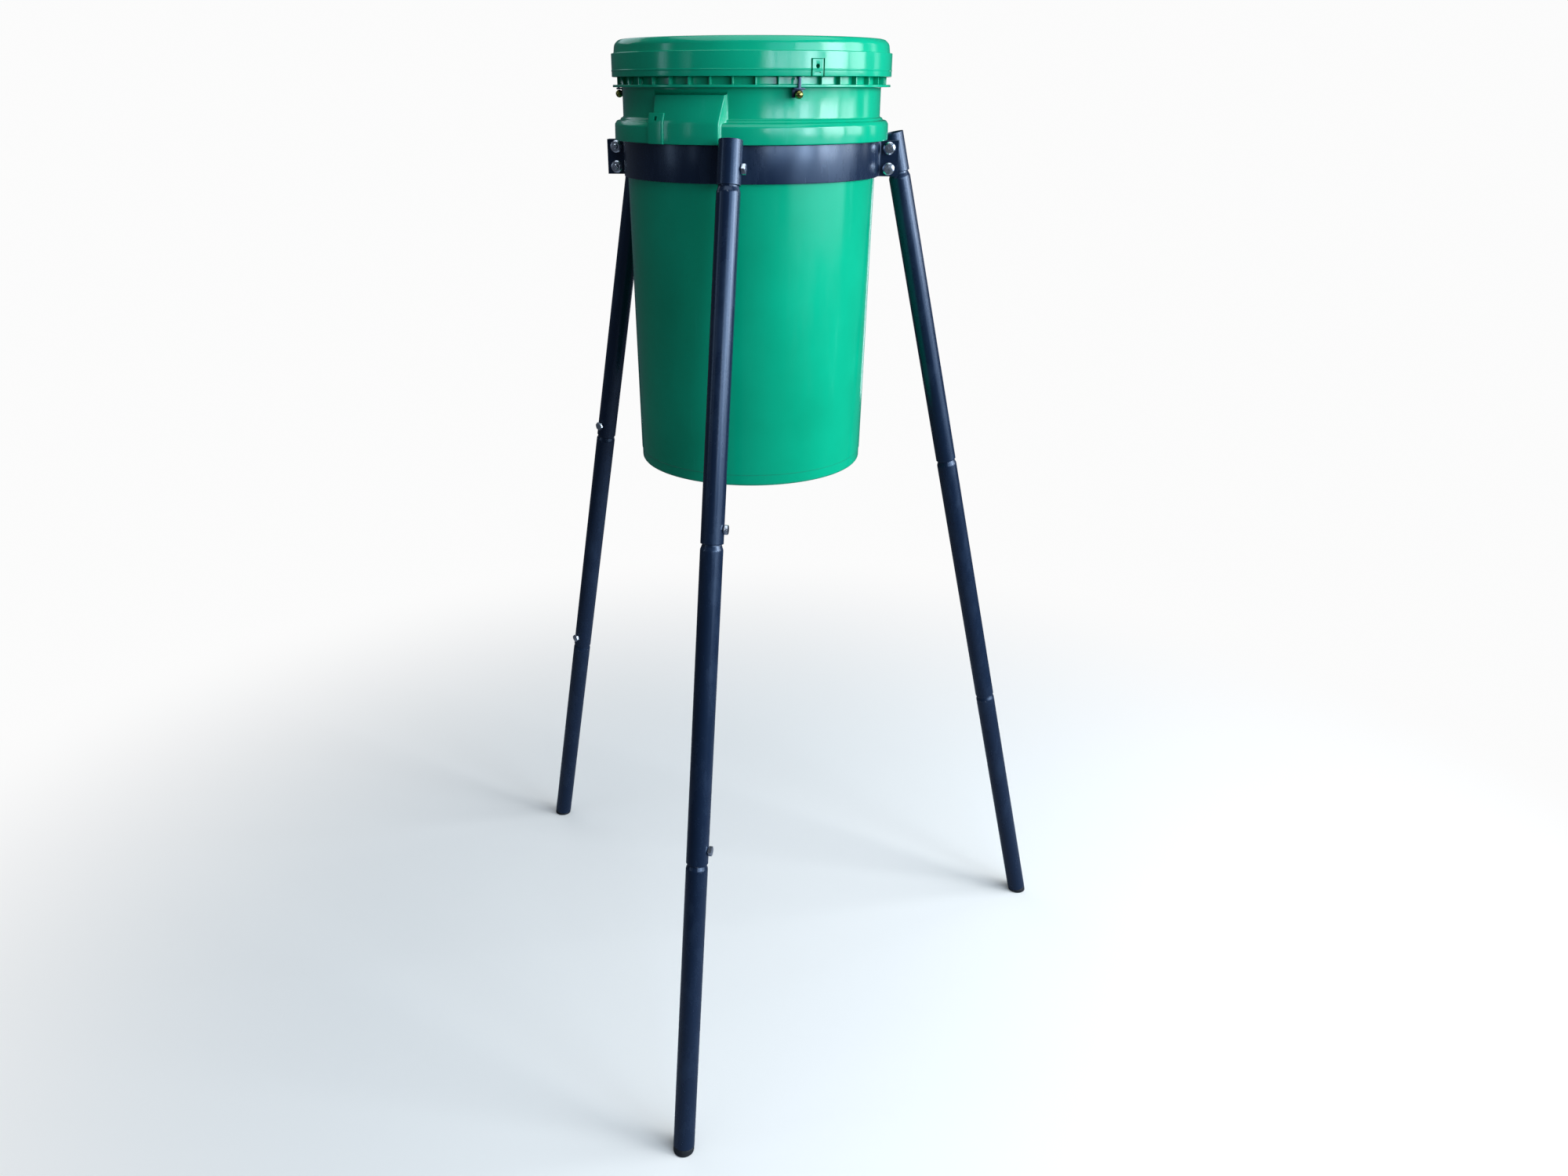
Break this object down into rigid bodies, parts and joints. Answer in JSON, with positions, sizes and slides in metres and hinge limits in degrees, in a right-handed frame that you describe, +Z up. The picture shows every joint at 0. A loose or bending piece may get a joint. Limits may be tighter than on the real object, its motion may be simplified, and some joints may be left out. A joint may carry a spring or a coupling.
{
  "type": "tripod bucket feeder",
  "caption": "Screw-lid pail held by its shoulder in a bolted clamp band on a tripod of sectional tube legs, with a funnel and gate to let feed out.",
  "frame": {"origin": "on the ground, in the middle of the footprint's bounding box", "axes": "+Z up along the pail's axis; -Y towards the front leg, the one beside the hand grip; +X to the right seen from the front"},
  "size_m": [0.8, 0.692, 1.2137],
  "materials": {
    "green_plastic": "glossy moulded polyethylene",
    "dark_plastic": "satin moulded plastic",
    "black_paint": "gloss black paint on steel",
    "zinc_steel": "bright zinc plated",
    "brass": "brass coloured plating",
    "rubber": "matt moulded rubber"
  },
  "bodies": {
    "stand_head": {"band_front": "black_paint", "band_rear": "black_paint", "socket_front": "black_paint", "socket_right": "black_paint", "socket_left": "black_paint", "socket_screw_front": "zinc_steel", "socket_screw_right": "zinc_steel", "socket_screw_left": "zinc_steel", "clamp_bolt_left_upper": "zinc_steel", "clamp_nut_left_upper": "zinc_steel", "clamp_bolt_left_lower": "zinc_steel", "clamp_nut_left_lower": "zinc_steel", "clamp_bolt_right_upper": "zinc_steel", "clamp_nut_right_upper": "zinc_steel", "clamp_bolt_right_lower": "zinc_steel", "clamp_nut_right_lower": "zinc_steel"},
    "pail": {"pail_body": "green_plastic", "ring_clip_1": "black_paint", "ring_clip_2": "black_paint", "ring_clip_3": "black_paint", "ring_stud_1": "brass", "ring_stud_2": "brass", "ring_stud_3": "brass", "feed_funnel": "dark_plastic", "outlet_collar": "dark_plastic", "outlet_nut": "dark_plastic", "gate_pin": "zinc_steel"},
    "gate": {"outlet_gate": "zinc_steel"},
    "lid_seal": {"lid_gasket": "rubber"},
    "lid": {"lid": "green_plastic"},
    "lock_tab": {"lock_tab": "green_plastic"},
    "leg_front_upper": {"leg_front_upper": "black_paint", "leg_screw_front_upper": "zinc_steel"},
    "leg_front_middle": {"leg_front_middle": "black_paint", "leg_screw_front_middle": "zinc_steel"},
    "leg_front_lower": {"leg_front_lower": "black_paint", "foot_front": "rubber"},
    "leg_right_upper": {"leg_right_upper": "black_paint", "leg_screw_right_upper": "zinc_steel"},
    "leg_right_middle": {"leg_right_middle": "black_paint", "leg_screw_right_middle": "zinc_steel"},
    "leg_right_lower": {"leg_right_lower": "black_paint", "foot_right": "rubber"},
    "leg_left_upper": {"leg_left_upper": "black_paint", "leg_screw_left_upper": "zinc_steel"},
    "leg_left_middle": {"leg_left_middle": "black_paint", "leg_screw_left_middle": "zinc_steel"},
    "leg_left_lower": {"leg_left_lower": "black_paint", "foot_left": "rubber"}
  },
  "joints": [
    {"name": "pail_lift", "type": "slide", "parent": "stand_head", "child": "pail", "axis": [0, 0, 1], "range_m": [0, 0.36]},
    {"name": "gate_swing", "type": "hinge", "parent": "pail", "child": "gate", "pos_m": [-0.0257, 0.12787, 0.72], "axis": [0, 0, 1], "range_deg": [0, 90]},
    {"name": "lid_lift", "type": "slide", "parent": "pail", "child": "lid_seal", "axis": [0, 0, 1], "range_m": [0, 0.2]},
    {"name": "lid_turn", "type": "hinge", "parent": "lid_seal", "child": "lid", "pos_m": [-0.0257, 0.09787, 1.2], "axis": [0, 0, 1], "range_deg": [0, 120]},
    {"name": "lock_tab_flex", "type": "hinge", "parent": "lid", "child": "lock_tab", "pos_m": [0.05804, -0.03208, 1.1927], "axis": [-0.8406, -0.5417, 0], "range_deg": [0, 12], "stiffness_Nm_per_rad": 0.4},
    {"name": "leg_front_upper_pull", "type": "slide", "parent": "stand_head", "child": "leg_front_upper", "axis": [-0.021, -0.2277, -0.9735], "range_m": [0, 0.045]},
    {"name": "leg_front_middle_pull", "type": "slide", "parent": "leg_front_upper", "child": "leg_front_middle", "axis": [-0.021, -0.2277, -0.9735], "range_m": [0, 0.045]},
    {"name": "leg_front_lower_pull", "type": "slide", "parent": "leg_front_middle", "child": "leg_front_lower", "axis": [-0.021, -0.2277, -0.9735], "range_m": [0, 0.045]},
    {"name": "leg_right_upper_pull", "type": "slide", "parent": "stand_head", "child": "leg_right_upper", "axis": [0.2212, 0.0582, -0.9735], "range_m": [0, 0.045]},
    {"name": "leg_right_middle_pull", "type": "slide", "parent": "leg_right_upper", "child": "leg_right_middle", "axis": [0.2212, 0.0582, -0.9735], "range_m": [0, 0.045]},
    {"name": "leg_right_lower_pull", "type": "slide", "parent": "leg_right_middle", "child": "leg_right_lower", "axis": [0.2212, 0.0582, -0.9735], "range_m": [0, 0.045]},
    {"name": "leg_left_upper_pull", "type": "slide", "parent": "stand_head", "child": "leg_left_upper", "axis": [-0.1867, 0.132, -0.9735], "range_m": [0, 0.045]},
    {"name": "leg_left_middle_pull", "type": "slide", "parent": "leg_left_upper", "child": "leg_left_middle", "axis": [-0.1867, 0.132, -0.9735], "range_m": [0, 0.045]},
    {"name": "leg_left_lower_pull", "type": "slide", "parent": "leg_left_middle", "child": "leg_left_lower", "axis": [-0.1867, 0.132, -0.9735], "range_m": [0, 0.045]}
  ]
}
